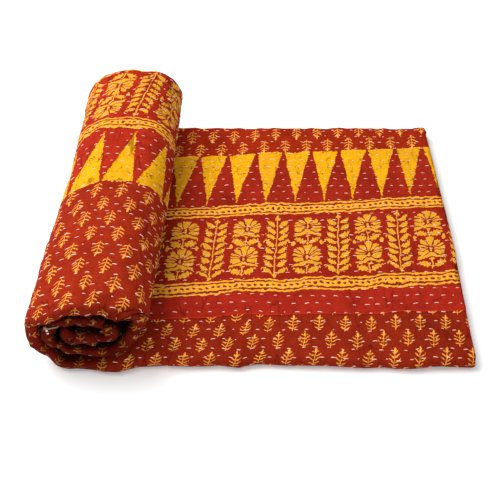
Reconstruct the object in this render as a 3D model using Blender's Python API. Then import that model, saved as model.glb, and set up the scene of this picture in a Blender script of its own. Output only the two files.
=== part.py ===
"""Kantha quilt: a hand-quilted cotton throw, folded in four to a long strip and part rolled up.

The quilt is one piece of cloth, so it is one solid. Its section across the strip is the cloth
itself, folded back and forth into four layers: the outer panel on top turns round the front fold
to the outer panel underneath, and the two inner panels lie between them. That section is swept
along the strip, which lies flat from its right end, then winds to the left, under, round and over
itself, into a slightly flattened roll. Metres, +Z up, +X along the strip, +Y to its back edge,
with the origin under the middle of the whole quilt.
"""

import itertools
import math

import bpy
from mathutils import Vector

# Cloth and fold
QUILT_LENGTH = 1.016  # along the strip, 40 in
QUILT_WIDTH = 1.524  # across the strip before folding, 60 in
LAYERS = 4
STRIP_WIDTH = QUILT_WIDTH / LAYERS
CLOTH = 0.0035  # two cotton faces and a thin wadding, quilted together
LAYER_GAP = 0.0007
LAYER_PITCH = CLOTH + LAYER_GAP
STRIP_THICKNESS = LAYERS * CLOTH + (LAYERS - 1) * LAYER_GAP
OUTER_HEM_INSET = 0.004  # how far each hem stops short of the back fold
INNER_HEM_INSET = 0.009

# Roll
ROLL_PITCH = STRIP_THICKNESS + 0.0017  # from one wrap of the strip to the next
ROLL_RADIUS = 0.0495  # middle of the outermost wrap, round its two ends
CORE_HALF = 0.0183  # half of the straight stretch between the two round ends
FLAT_RUN = 0.3940  # from the right end to where the outermost wrap starts
ROLL_CORE = Vector((-FLAT_RUN - CORE_HALF, STRIP_THICKNESS / 2 + ROLL_RADIUS))  # (x, z), its middle
LEFT_SHARE, TOP_SHARE, RIGHT_SHARE = 0.3, 0.2, 0.5  # where each turn takes its inward step

# Unevenness
ROLL_SKEW = 0.0174  # the roll's back end lies this far to the right of its front end
LOWER_LEFT_BULGE = 0.0105  # the roll's weight spreads its lower left side along the table
SHOULDER_DROP = 0.009  # its upper left shoulder sags
TOP_SLIP = 0.0100  # over the top of the roll the wraps have slipped this far towards the back
LIP_SETBACK = 0.0020  # and the outermost wrap's front edge is drawn in as well
CORE_SLIP = 0.0050  # the innermost wrap has slipped further back all round
FRONT_WAVES = (
    {"size": 0.0014, "length": 0.210, "phase": 0.6},
    {"size": 0.0009, "length": 0.087, "phase": 2.1},
)

# Mesh
RUN_STEPS = 4  # along each layer, from front to back
OUTER_FOLD_STEPS = 6
INNER_FOLD_STEPS = 4
FLAT_STEPS = 7
ROUND_STEPS = 8  # for each half turn
HEM_ROUND = 0.0012  # length over which a cut end is rounded off
HEM_THIN = 0.5  # share of the thickness left at the very end
SHARP_ANGLE = 50.0  # degrees

COTTON_RED = (0.42, 0.022, 0.014, 1.0)
COTTON_ROUGHNESS = 0.9


def smooth_step(low, high, value):
    share = min(max((value - low) / (high - low), 0.0), 1.0)
    return share * share * (3.0 - 2.0 * share)


def run(start, end, height):
    """Points along one layer, from start to end in Y."""
    return [(start + (end - start) * k / RUN_STEPS, height) for k in range(RUN_STEPS + 1)]


def fold(centre, start, end, side, steps):
    """Points round a fold, from the layer at height start to the layer at height end.

    Side is 1 at the back edge and -1 at the front edge. The two ends belong to the layers.
    """
    half = (end - start) / 2
    angles = [math.pi * k / steps for k in range(1, steps)]
    return [
        (centre + side * abs(half) * math.sin(a), start + half * (1.0 - math.cos(a)))
        for a in angles
    ]


def cloth_line():
    """The middle line of the folded cloth across the strip, hem to hem, as (y, height) points.

    Height runs outward from the middle of the strip. The panel on top of the flat strip is the
    innermost, and the panel that lies on the table, which is the outside of the roll, the outermost.
    """
    back, front = STRIP_WIDTH / 2, -STRIP_WIDTH / 2
    top, upper_inner, lower_inner, bottom = (
        LAYER_PITCH * (k - (LAYERS - 1) / 2) for k in range(LAYERS)
    )
    front_turn = front + CLOTH / 2 + (bottom - top) / 2
    back_turn = back - CLOTH / 2 - (bottom - lower_inner) / 2
    line = [
        *run(back - OUTER_HEM_INSET, front_turn, top),
        *fold(front_turn, top, bottom, -1, OUTER_FOLD_STEPS),
        *run(front_turn, back_turn, bottom),
        *fold(back_turn, bottom, lower_inner, 1, INNER_FOLD_STEPS),
        *run(back_turn, front_turn, lower_inner),
        *fold(front_turn, lower_inner, upper_inner, -1, INNER_FOLD_STEPS),
        *run(front_turn, back - INNER_HEM_INSET, upper_inner),
    ]
    return [Vector(point) for point in line]


def cloth_outline(thickness):
    """The folded cloth's closed outline: up one side of its middle line and back down the other."""
    line = cloth_line()
    one_side, other_side = [], []
    for k, point in enumerate(line):
        leaving = (line[min(k + 1, len(line) - 1)] - line[min(k, len(line) - 2)]).normalized()
        arriving = (line[max(k, 1)] - line[max(k - 1, 0)]).normalized()
        along = (leaving + arriving).normalized()
        across = Vector((-along.y, along.x)) * (thickness / 2 / along.dot(arriving))
        one_side.append(point + across)
        other_side.append(point - across)
    return one_side + other_side[::-1]


def one_turn():
    """One turn of the roll, from the start of its bottom run, as (end, angle, share) stations.

    End is the end of the core that the strip turns about, -1 at the left and 1 at the right. Angle
    is the outward direction, and share is how much of the turn's inward step is taken by then.
    """
    down, up = -math.pi / 2, -1.5 * math.pi
    steps = [k / ROUND_STEPS for k in range(ROUND_STEPS + 1)]
    left = [(-1.0, down - math.pi * k, LEFT_SHARE * k) for k in steps]
    top_end = LEFT_SHARE + TOP_SHARE
    right = [(1.0, up - math.pi * k, top_end + RIGHT_SHARE * k) for k in steps]
    return [(1.0, down, 0.0), *left, *right[:-1]]  # the last of right starts the next turn


def wound_stations():
    """The stations of the strip, from its right end to its other end in the core of the roll.

    Each holds the middle of the strip as (x, z), the outward direction, the length from the right
    end, how far it belongs to the roll, from 0 on the flat to 1, and the turns wound by then.
    """
    height = STRIP_THICKNESS / 2
    down = Vector((0.0, -1.0))
    stations = []
    for length in [0.0, HEM_ROUND] + [FLAT_RUN * k / FLAT_STEPS for k in range(1, FLAT_STEPS)]:
        stations.append(
            {
                "middle": Vector((-length, height)),
                "outward": down,
                "length": length,
                "roll": smooth_step(0.0, FLAT_RUN, length),
                "turns": 0.0,
            }
        )
    for turn in itertools.count():
        for end, angle, share in one_turn():
            radius = ROLL_RADIUS - ROLL_PITCH * (turn + share)
            outward = Vector((math.cos(angle), math.sin(angle)))
            last = stations[-1]
            middle = ROLL_CORE + Vector((CORE_HALF * end, 0.0)) + outward * radius
            step = (middle - last["middle"]).length
            part = min((QUILT_LENGTH - last["length"]) / step, 1.0)
            stations.append(
                {
                    "middle": last["middle"].lerp(middle, part),
                    "outward": last["outward"].lerp(outward, part),
                    "length": last["length"] + step * part,
                    "roll": 1.0,
                    "turns": turn + (-math.pi / 2 - angle) / (2 * math.pi),
                }
            )
            if part < 1.0:
                return stations


def settled(x, y, z, station):
    """A point of the strip as the quilt really lies: skewed, spread by its weight and uneven."""
    frontness = smooth_step(STRIP_WIDTH / 4, -STRIP_WIDTH / 2, y)
    leftness = smooth_step(ROLL_CORE.x, ROLL_CORE.x - ROLL_RADIUS, x) * station["roll"]
    lowness = (1.0 - min(z / ROLL_CORE.y, 1.0)) ** 2
    highness = (z / ROLL_CORE.y / 2) ** 2
    waves = sum(
        wave["size"] * math.sin(2 * math.pi * station["length"] / wave["length"] + wave["phase"])
        for wave in FRONT_WAVES
    )
    over_top = math.sin(math.pi * station["turns"]) ** 2
    outermost = 1.0 if station["turns"] < 1.0 else 0.5
    slip = TOP_SLIP * outermost * over_top + CORE_SLIP * station["core"]
    skew = ROLL_SKEW * y / STRIP_WIDTH * station["roll"]
    return Vector(
        (
            x + skew - LOWER_LEFT_BULGE * leftness * lowness,
            y + slip + frontness * (waves + LIP_SETBACK * outermost * over_top),
            z - SHOULDER_DROP * leftness * highness,
        )
    )


def quilt_points():
    """The rings of points along the strip, one for each station."""
    stations = wound_stations()
    full = cloth_outline(CLOTH)
    thin = cloth_outline(CLOTH * HEM_THIN)
    rings = []
    for k, station in enumerate(stations):
        station["core"] = (station["turns"] / stations[-1]["turns"]) ** 2
        outline = thin if k in (0, len(stations) - 1) else full
        ring = []
        for y, height in outline:
            x, z = station["middle"] + station["outward"] * height
            ring.append(settled(x, y, z, station))
        rings.append(ring)
    return rings


def centred(rings):
    """The same rings with the origin under the middle of the quilt's box."""
    points = [point for ring in rings for point in ring]
    low = Vector([min(point[axis] for point in points) for axis in range(3)])
    high = Vector([max(point[axis] for point in points) for axis in range(3)])
    origin = Vector(((low.x + high.x) / 2, (low.y + high.y) / 2, 0.0))
    return [[point - origin for point in ring] for ring in rings]


def ring_faces(rings, sides):
    """Quads between neighbouring rings, and at each end a ladder across the cloth's two sides."""
    faces = []
    for k in range(len(rings) - 1):
        for j in range(sides):
            near, far = k * sides, (k + 1) * sides
            following = (j + 1) % sides
            faces.append((near + j, far + j, far + following, near + following))
    last = (len(rings) - 1) * sides
    for j in range(sides // 2 - 1):
        faces.append((j, j + 1, sides - 2 - j, sides - 1 - j))
        faces.append((last + j + 1, last + j, last + sides - 1 - j, last + sides - 2 - j))
    return faces


def cotton_material():
    material = bpy.data.materials.new("printed_cotton")
    material.use_nodes = True
    shader = material.node_tree.nodes["Principled BSDF"]
    shader.inputs["Base Color"].default_value = COTTON_RED
    shader.inputs["Roughness"].default_value = COTTON_ROUGHNESS
    shader.inputs["Metallic"].default_value = 0.0
    return material


def make_quilt(collection):
    rings = centred(quilt_points())
    sides = len(rings[0])
    mesh = bpy.data.meshes.new("quilt")
    mesh.from_pydata([point for ring in rings for point in ring], [], ring_faces(rings, sides))
    mesh.materials.append(cotton_material())
    mesh.validate()
    mesh.shade_smooth()
    mesh.set_sharp_from_angle(angle=math.radians(SHARP_ANGLE))
    quilt = bpy.data.objects.new("quilt", mesh)
    collection.objects.link(quilt)
    return quilt


def main():
    for existing in list(bpy.data.objects):
        bpy.data.objects.remove(existing, do_unlink=True)
    collection = bpy.data.collections.new("kantha_quilt")
    bpy.context.scene.collection.children.link(collection)
    make_quilt(collection)


main()
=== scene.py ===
"""The kantha quilt's looks: its puckered, block-printed cloth and its running stitches.

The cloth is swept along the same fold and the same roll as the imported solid, much finer. The print is
worked out by shader nodes from a UV map in millimetres, and the stitches are real threads.
"""

import math

import bpy
import numpy as np
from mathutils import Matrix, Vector
from mathutils.geometry import tessellate_polygon


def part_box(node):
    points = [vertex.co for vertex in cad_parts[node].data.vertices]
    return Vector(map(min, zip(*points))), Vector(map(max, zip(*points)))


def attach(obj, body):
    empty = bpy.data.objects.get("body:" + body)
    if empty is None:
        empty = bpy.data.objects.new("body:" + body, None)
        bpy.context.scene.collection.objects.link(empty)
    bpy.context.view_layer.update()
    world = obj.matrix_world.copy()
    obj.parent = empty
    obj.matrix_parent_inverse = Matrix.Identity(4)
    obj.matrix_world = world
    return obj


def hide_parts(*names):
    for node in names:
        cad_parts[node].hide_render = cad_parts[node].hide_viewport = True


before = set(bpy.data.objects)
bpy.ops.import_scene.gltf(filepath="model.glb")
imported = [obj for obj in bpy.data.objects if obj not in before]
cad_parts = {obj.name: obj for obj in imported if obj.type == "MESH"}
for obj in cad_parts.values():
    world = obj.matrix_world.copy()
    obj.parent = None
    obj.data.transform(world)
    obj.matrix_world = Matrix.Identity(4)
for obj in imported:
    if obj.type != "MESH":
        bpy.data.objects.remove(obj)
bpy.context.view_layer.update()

# ---- Camera, floor and light ----
CAMERA_PLACE, CAMERA_TILT = (-0.0036, -0.6536, 0.7714), 39.25  # metres, degrees from straight down
SENSOR, LENS = 36.0, 57.6  # millimetres
SKY_STRENGTH = 0.60
WHITE, PAPER_WHITE = (1.0, 1.0, 1.0, 1.0), (0.95, 0.95, 0.95, 1.0)
FLOOR_HALF = 6.0
scene = bpy.context.scene


def add(name, data, location=(0.0, 0.0, 0.0), rotation=(0.0, 0.0, 0.0)):
    made = bpy.data.objects.new(name, data)
    made.location, made.rotation_euler = location, rotation
    scene.collection.objects.link(made)
    return made


def give(node, inputs):
    """Sets a shader node's inputs to plain values, or joins them to Numbers or other nodes."""
    for name, value in inputs.items():
        value = getattr(value, "socket", value)
        if isinstance(value, bpy.types.NodeSocket):
            node.id_data.links.new(value, node.inputs[name])
        else:
            node.inputs[name].default_value = value


def new_node(tree, kind, inputs, **settings):
    """A shader node of a kind, with its inputs and settings given."""
    node = tree.nodes.new("ShaderNode" + kind)
    for name, value in settings.items():
        setattr(node, name, value)
    give(node, inputs)
    return node


def new_material(name, inputs):
    """A material with one shader, and that shader."""
    material = bpy.data.materials.new(name)
    material.use_nodes = True
    shader = material.node_tree.nodes["Principled BSDF"]
    give(shader, inputs)
    return material, shader


def soft_light(name, location, target, size, power):
    light = bpy.data.lights.new(name, "AREA")
    light.shape, light.size, light.energy = "DISK", size, power
    aim = (Vector(target) - Vector(location)).to_track_quat("-Z", "Y").to_euler()
    return add(name, light, location, aim)


def make_studio():
    camera = bpy.data.cameras.new("camera")
    camera.sensor_width, camera.lens = SENSOR, LENS
    scene.camera = add("camera", camera, CAMERA_PLACE, (math.radians(CAMERA_TILT), 0, 0))
    world = bpy.data.worlds.new("studio")
    scene.world = world
    world.use_nodes = True
    background = world.node_tree.nodes["Background"]
    give(background, {"Color": WHITE, "Strength": SKY_STRENGTH})
    soft_light("key", (-0.85, 0.40, 1.4), (-0.05, 0.0, 0.0), 1.5, 32.0)
    soft_light("fill", (-0.1, -1.3, 1.4), (0.0, 0.0, 0.0), 1.6, 8.0)
    scene.view_settings.view_transform = "Standard"

    mesh = bpy.data.meshes.new("floor")
    corners = [(FLOOR_HALF * x, FLOOR_HALF * y, 0) for x, y in ((-1, -1), (1, -1), (1, 1), (-1, 1))]
    mesh.from_pydata(corners, [], [(0, 1, 2, 3)])
    floor = add("floor", mesh)
    paper = {"Base Color": PAPER_WHITE, "Roughness": 0.8, "Specular IOR Level": 0.1}
    mesh.materials.append(new_material("floor_white", paper)[0])


make_studio()

# ---- The fold and the roll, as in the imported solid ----
QUILT_LENGTH, QUILT_WIDTH, LAYERS = 1.016, 1.524, 4
STRIP_WIDTH = QUILT_WIDTH / LAYERS
CLOTH, LAYER_GAP = 0.0035, 0.0007
LAYER_PITCH = CLOTH + LAYER_GAP
STRIP_THICKNESS = LAYERS * CLOTH + (LAYERS - 1) * LAYER_GAP
OUTER_HEM_INSET, INNER_HEM_INSET = 0.004, 0.009
ROLL_PITCH = STRIP_THICKNESS + 0.0017
ROLL_RADIUS, CORE_HALF, FLAT_RUN = 0.0495, 0.0183, 0.3940
CORE_X, CORE_Z = -FLAT_RUN - CORE_HALF, STRIP_THICKNESS / 2 + ROLL_RADIUS
LEFT_SHARE, TOP_SHARE, RIGHT_SHARE = 0.3, 0.2, 0.5
ROLL_SKEW, LOWER_LEFT_BULGE, SHOULDER_DROP = 0.0174, 0.0105, 0.009
TOP_SLIP, LIP_SETBACK, CORE_SLIP = 0.0100, 0.0020, 0.0050
FRONT_WAVES = ((0.0014, 0.210, 0.6), (0.0009, 0.087, 2.1))  # size, length, phase

ROW_PITCH = 0.0118  # between rows of stitches
FIRST_ROW = 0.0050
STITCH_PITCH = 0.0138
MM = 1000.0  # in a metre


def ease(low, high, value):
    """From 0 where the value is low to 1 where it is high."""
    share = np.clip((value - low) / (high - low), 0.0, 1.0)
    return share * share * (3.0 - 2.0 * share)


def hump(value, start, full, fades, end):
    """0 up to start and from end on, and 1 from full to where it fades."""
    return ease(start, full, value) * ease(end, fades, value)


def table(value, *knots):
    """A straight-line table: each knot is (value, result)."""
    return np.interp(value, [k[0] for k in knots], [k[1] for k in knots])


def soft_noise(a, b, cell_a, cell_b, seed):
    """Smooth noise from -1 to 1 over two lengths, the same each run."""
    cells = np.random.default_rng(seed).uniform(-1.0, 1.0, (64, 64))
    a, b = np.asarray(a) / cell_a + 1000.0, np.asarray(b) / cell_b + 1000.0
    ia, ib = np.floor(a).astype(int), np.floor(b).astype(int)
    fa, fb = a - ia, b - ib
    fa, fb = fa * fa * (3 - 2 * fa), fb * fb * (3 - 2 * fb)
    near = cells[ia % 64, ib % 64] * (1 - fb) + cells[ia % 64, (ib + 1) % 64] * fb
    far = cells[(ia + 1) % 64, ib % 64] * (1 - fb) + cells[(ia + 1) % 64, (ib + 1) % 64] * fb
    return near * (1 - fa) + far * fa


def line_noise(a, cell, seed):
    """Smooth noise over one length."""
    return soft_noise(a, 0.0, cell, 1.0, seed)


def ridge(away, wide):
    """1 on a line, falling smoothly to 0 beside it."""
    return np.exp(-((away / wide) ** 2))


def from_line(a, b, a0, b0, a1, b1):
    """How far a point is from a straight line between two others, and its share of the way."""
    along = ((a - a0) * (a1 - a0) + (b - b0) * (b1 - b0)) / ((a1 - a0) ** 2 + (b1 - b0) ** 2)
    along = np.clip(along, 0.0, 1.0)
    return np.hypot(a - a0 - along * (a1 - a0), b - b0 - along * (b1 - b0)), along


def lengths_along(points):
    """How far along a line each of its points is."""
    return np.concatenate([[0.0], np.cumsum(np.hypot(*np.diff(points, axis=0).T))])


def wound_path():
    """Length along the strip, x, z, outward x, outward z, roll share and turns, as columns."""
    flat = np.linspace(0.0, FLAT_RUN, 60)[:-1]
    rows = [(-s, STRIP_THICKNESS / 2, 0.0, -1.0, ease(0.0, FLAT_RUN, s), 0.0) for s in flat]
    down, top_end = -math.pi / 2, LEFT_SHARE + TOP_SHARE
    straight, bend = np.linspace(0.0, 1.0, 9)[:-1], np.linspace(0.0, 1.0, 91)[:-1]
    for turn in range(3):
        stations = [
            *[(1.0 - 2.0 * k, down, 0.0) for k in straight],
            *[(-1.0, down - math.pi * k, LEFT_SHARE * k) for k in bend],
            *[(-1.0 + 2.0 * k, down - math.pi, LEFT_SHARE + TOP_SHARE * k) for k in straight],
            *[(1.0, down - math.pi * (1 + k), top_end + RIGHT_SHARE * k) for k in bend],
        ]
        for end, angle, share in stations:
            radius = ROLL_RADIUS - ROLL_PITCH * (turn + share)
            ox, oz = math.cos(angle), math.sin(angle)
            wound = turn + (down - angle) / (2 * math.pi)
            rows.append(
                (CORE_X + CORE_HALF * end + ox * radius, CORE_Z + oz * radius, ox, oz, 1.0, wound)
            )
    rows = np.array(rows)
    return np.column_stack([lengths_along(rows[:, :2]), rows])


PATH = wound_path()


def path_at(length):
    """x, z, outward x, outward z, roll share and turns at a length along the strip."""
    return [np.interp(length, PATH[:, 0], PATH[:, k]) for k in range(1, 7)]


LAST_TURNS = path_at(QUILT_LENGTH)[-1]


def cloth_line():
    """The middle line of the folded cloth across the strip, as a dense table.

    Columns: y, height, and the printed side's direction, then the distance along the printed side.
    """
    back, front = STRIP_WIDTH / 2, -STRIP_WIDTH / 2
    top, upper, lower, bottom = (LAYER_PITCH * (k - (LAYERS - 1) / 2) for k in range(LAYERS))
    front_turn = front + CLOTH / 2 + (bottom - top) / 2
    back_turn = back - CLOTH / 2 - (bottom - lower) / 2
    rows = []

    def run(start, end, height):
        sign = 1.0 if end > start else -1.0
        for k in np.linspace(0.0, 1.0, 80):
            rows.append((start + (end - start) * k, height, 0.0, sign))

    def fold(centre, start, end, side):
        half = (end - start) / 2
        for a in np.linspace(0.0, math.pi, 40)[1:-1]:
            out_y, out_h = side * math.sin(a), -math.cos(a) * math.copysign(1.0, half)
            y, h = centre + out_y * abs(half), (start + end) / 2 + out_h * abs(half)
            outside = 1.0 if (side < 0) == (end > start) else -1.0
            rows.append((y, h, out_y * outside, out_h * outside))

    run(back - OUTER_HEM_INSET, front_turn, top)
    fold(front_turn, top, bottom, -1)
    run(front_turn, back_turn, bottom)
    fold(back_turn, bottom, lower, 1)
    run(back_turn, front_turn, lower)
    fold(front_turn, lower, upper, -1)
    run(front_turn, back - INNER_HEM_INSET, upper)
    rows = np.array(rows)
    return np.column_stack([rows, lengths_along(rows[:, :2] + rows[:, 2:] * CLOTH / 2)])


LINE = cloth_line()


def line_at(printed):
    """y, height and the printed side's direction at a distance along the printed side."""
    return [np.interp(printed, LINE[:, 4], LINE[:, k]) for k in range(4)]


# ---- How the quilt lies: stretches that have slumped, moved in or moved out ----
# At the mouth: from and to, the lengths over which it starts and ends, and how far x, y and z have
# moved at the very front
SLUMPS = (
    (0.390, 0.446, 0.026, 0.018, 0.0, -0.0062, 0.0),  # the lowest nose bulges forward
    (0.462, 0.505, 0.025, 0.035, 0.0028, 0.0030, 0.0),  # the lower left corner is drawn in
    (0.578, 0.592, 0.010, 0.010, 0.0, 0.0016, 0.0030),  # the lip is pinched up
    (0.685, 0.750, 0.020, 0.040, -0.0078, 0.0, 0.0),  # the lower right is drawn in
    (0.800, 0.835, 0.020, 0.020, 0.0020, 0.0, -0.0020),  # the next wrap's left is drawn in
    (0.852, 0.900, 0.018, 0.018, 0.0, -0.0030, -0.0075),  # the next wrap sags into the mouth
    (0.606, 0.612, 0.009, 0.009, 0.0, 0.0014, 0.0028),  # the lip is pinched up again
    (0.735, 0.780, 0.020, 0.020, 0.0, 0.0, 0.0030),  # the next wrap's bottom has risen a little
    (0.905, 0.940, 0.012, 0.025, -0.0150, -0.0020, -0.0030),  # the core's right is drawn in
    (0.950, 0.988, 0.020, 0.020, 0.0, -0.0040, 0.0150),  # the core's bottom has risen
    (0.998, 1.030, 0.016, 0.010, 0.0080, -0.0020, -0.0010),  # and its left is drawn in
)
MOUTH_WAVES = (  # length and seed, and size along x, y and z, in the inner wraps' front edges
    (0.017, 33, 0.0016, 0.0, 0.0), (0.013, 34, 0.0, 0.0024, 0.0), (0.019, 32, 0.0, 0.0, 0.0020),
)
LEFT_DRAWN_IN = (  # y, and how far the roll's left side is drawn in there
    (-0.170, 0.0), (-0.150, 0.0012), (-0.120, 0.0033), (-0.070, 0.0056), (0.0, 0.0098),
    (0.030, 0.0104), (0.100, 0.0096), (0.150, 0.0076), (0.190, 0.0060),
)
RIGHT_DRAWN_IN = (  # y, and how far the flat run's cut end is drawn in there
    (-0.190, 0.0012), (-0.165, 0.0030), (-0.140, 0.0012), (-0.100, 0.0014), (-0.072, 0.0044),
    (-0.040, 0.0014), (0.0, 0.0026), (0.055, 0.0056), (0.100, 0.0052), (0.128, 0.0078),
    (0.165, 0.0060), (0.190, 0.0075),
)
FRONT_PUSHED_OUT = (  # length along the strip, and how far the flat run's front edge is pushed out
    (0.0, 0.0045), (0.018, 0.0035), (0.032, 0.0016), (0.048, 0.0018), (0.060, 0.0040),
    (0.073, 0.0054), (0.087, 0.0052), (0.100, 0.0022), (0.140, 0.0004), (0.236, 0.0),
    (0.248, 0.0028), (0.257, 0.0052), (0.266, 0.0028), (0.278, 0.0),
)
LIP_CREASE = ((0.634, -0.1960), (0.634, -0.1835), (0.664, -0.1712))  # length, y


def drawn_in(length, y):
    """How far the strip is drawn in at its cut end, by length and place across."""
    scallops = 0.0016 * soft_noise(0.0 * y, y, 1.0, 0.0085, 35) * ease(0.012, 0.0, length)
    return table(y, *RIGHT_DRAWN_IN) * ease(0.085, 0.0, length) + scallops


def left_share(x):
    """How far a point takes part in the drawing in of the roll's left side, from 0 to 1."""
    return ease(CORE_X + 0.02, CORE_X - 0.085, x)


def pushed_out(length, y):
    """How far the flat run's front edge is pushed out, by length and place across."""
    return table(length, *FRONT_PUSHED_OUT) * ease(-0.120, -0.180, y)


def at_mouth(y):
    """1 at the very front of the roll, and 0 further back."""
    return ease(-0.118, -0.182, y)


def lip_shares(length, y):
    """How far a point belongs to the drooping lip and to the stretch that lies back beyond it.

    The crease between the two runs slantwise up the roll's right side from its mouth.
    """
    crease = LIP_CREASE[0][0] + 2.4 * np.clip(y + STRIP_WIDTH / 2 - 0.0065, 0.0, 0.014)
    lip = hump(length, 0.515, 0.560, crease - 0.004, crease + 0.022)
    return lip, hump(length, crease - 0.002, crease + 0.022, 0.706, 0.736)


def slumped(y, length):
    """How far x, y and z have moved where the quilt has slumped, at its front and back edges."""
    front, inner = at_mouth(y), ease(0.70, 0.80, length)
    lip, beyond = lip_shares(length, y)
    turns = zip(LIP_CREASE, LIP_CREASE[1:])
    groove = ridge(np.minimum(*[from_line(length, y, *a, *b)[0] for a, b in turns]), 0.0032)
    at_back = line_noise(length, 0.0105, 36) * ease(0.174, 0.188, y)
    wavy = ease(0.36, 0.42, length) * front * (1.0 + inner)
    moves = [  # share of the move, then x, y and z
        (lip * front, 0.0, -0.0082, -0.0036),  # the lip droops forward
        (beyond * front, 0.0, 0.0040, 0.0),
        (pushed_out(length, y), 0.0, -1.0, 0.0),
        (at_back, 0.0, 0.0015, 0.0),
        (groove, -0.0042, 0.0016, -0.0030),  # the crease between the lip and what lies beyond
        (line_noise(length, 0.022, 31) * wavy, 0.0, 0.0014, 0.0),
    ]
    for start, end, before, after, *move in SLUMPS:
        moves.append((hump(length, start - before, start, end, end + after) * front, *move))
    for wave, seed, *move in MOUTH_WAVES:
        moves.append((line_noise(length, wave, seed) * front * inner, *move))
    return [sum(share * move[axis] for share, *move in moves) for axis in range(3)]


def settled(x, y, z, length, roll, turns):
    """Where a point of the strip lies in the quilt as it rests: skewed, spread and uneven."""
    frontness = ease(STRIP_WIDTH / 4, -STRIP_WIDTH / 2, y)
    leftness = ease(CORE_X, CORE_X - ROLL_RADIUS, x) * roll
    lowness = (1.0 - np.minimum(z / CORE_Z, 1.0)) ** 2
    highness = (z / CORE_Z / 2) ** 2
    waves = sum(
        size * np.sin(2 * math.pi * length / wave + phase) for size, wave, phase in FRONT_WAVES
    )
    over_top = np.sin(math.pi * turns) ** 2
    outermost = np.where(turns < 1.0, 1.0, 0.5)
    slip = TOP_SLIP * outermost * over_top + CORE_SLIP * (turns / LAST_TURNS) ** 2
    inward = table(y, *LEFT_DRAWN_IN) * left_share(x) * roll - drawn_in(length, y)
    slump_x, slump_y, slump_z = slumped(y, length)
    back_right = ease(0.10, 0.19, y) * hump(length, 0.60, 0.64, 0.68, 0.74)
    return np.stack(
        [
            x + ROLL_SKEW * y / STRIP_WIDTH * roll - LOWER_LEFT_BULGE * leftness * lowness
            + inward + slump_x,
            y + slip + frontness * (waves + LIP_SETBACK * outermost * over_top) + slump_y
            + 0.004 * back_right,
            z - SHOULDER_DROP * leftness * highness + slump_z,
        ],
        axis=-1,
    )


# ---- The puckered surface ----
Q1_END = STRIP_WIDTH - OUTER_HEM_INSET - CLOTH / 2 - 1.5 * LAYER_PITCH  # where the front fold starts
Q2_START = Q1_END + math.pi * (1.5 * LAYER_PITCH + CLOTH / 2)
FRONT_MIDDLE = (Q1_END + Q2_START) / 2
Q2_END = Q2_START + STRIP_WIDTH - CLOTH - 2.0 * LAYER_PITCH
Q3_START = Q2_END + math.pi * (0.5 * LAYER_PITCH + CLOTH / 2)


def row_wander(row, length):
    """How far a row of stitches strays from its line, in metres."""
    wide, near = soft_noise(length, row, 0.045, 1.0, 5), soft_noise(length, row, 0.016, 1.0, 6)
    return 0.0009 * wide + 0.0006 * near


def row_phase(row):
    """Where along the stitch pitch a row's stitches fall, from 0 to 1."""
    return (row * 0.618034 + 0.13 * np.sin(row * 1.7)) % 1.0


SEAM_LINE = (  # length along the strip and where the seam lies on the printed side, in millimetres
    (0, 310.3), (193, 314.7), (262, 317.5), (347, 321.6), (400, 322.5),
)
BORDER_TOP = 38.0  # distance of the triangles' bases from the back hem, at the strip's right end
BORDER_TILT = 0.057  # how far the border's lines move forward for each millimetre to the left
CREASE_GAIN = 1.4
# Creases, in millimetres on the cloth: from length, distance, to length, distance, half width, height
CREASES = (
    (154, 284, 152, 322, 1.5, -0.8), (91, 280, 94, 324, 1.5, -0.8),
    (70, 270, 68, 316, 1.4, -0.7), (262, 288, 258, 318, 1.4, -0.7),
    (300, 290, 305, 322, 1.5, -0.8), (212, 284, 209, 316, 1.3, -0.6),
    (308, 279, 306, 314, 2.3, 0.9), (265, 282, 263, 316, 2.3, 0.8),
    (228, 290, 232, 318, 2.6, -0.7), (150, 284, 147, 306, 2.6, 0.6),
    (85, 274, 89, 309, 2.3, 1.0), (53, 276, 57, 308, 2.3, 1.0),
    (22, 278, 26, 308, 2.3, 0.9), (69, 314, 71, 331, 2.3, 1.1),
    (33, 336, 28, 356, 2.3, 1.2), (17, 106, 13, 130, 2.3, 1.1),
    (252, 347, 256, 367, 2.3, 1.0), (341, 338, 330, 352, 2.6, 0.9),
    (182, 346, 176, 366, 2.4, 0.8), (290, 39, 206, 41, 4.5, -0.9),
    (96, 33, 40, 30, 4.0, -0.7), (575, 424, 588, 398, 3.0, -1.0),
    (545, 420, 530, 396, 3.0, 0.9), (628, 416, 621, 396, 2.8, -0.9),
    (655, 440, 664, 398, 3.0, -1.0), (480, 410, 486, 390, 2.6, 1.0),
    (440, 404, 430, 384, 2.6, -0.9),
)


def creases(length, printed):
    """How far the listed folds and the two seams stand out, in metres."""
    s, v = length * MM, printed * MM
    total = 0.0 * s
    for s0, v0, s1, v1, wide, height in CREASES:
        away, along = from_line(s, v, s0, v0, s1, v1)
        total = total + CREASE_GAIN * height * ridge(away, wide) * (1.15 - 0.5 * along)
    for seam, height in ((table(s, *SEAM_LINE), 0.85), (BORDER_TOP + BORDER_TILT * s, 0.45)):
        wavy = seam + 0.6 * line_noise(s, 14.0, 41)
        uneven = 1.0 + 0.35 * line_noise(s, 9.0, 42)
        total = total + height * uneven * ridge(v - wavy, 1.6) * (s < 430.0)
    return total / MM


GROOVE_DEPTH, GROOVE_WIDE = 0.00085, 0.0021  # along each row of stitches
PRESSED = 0.0004  # how far the cloth's wadding is pressed in where it lies on the table


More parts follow.
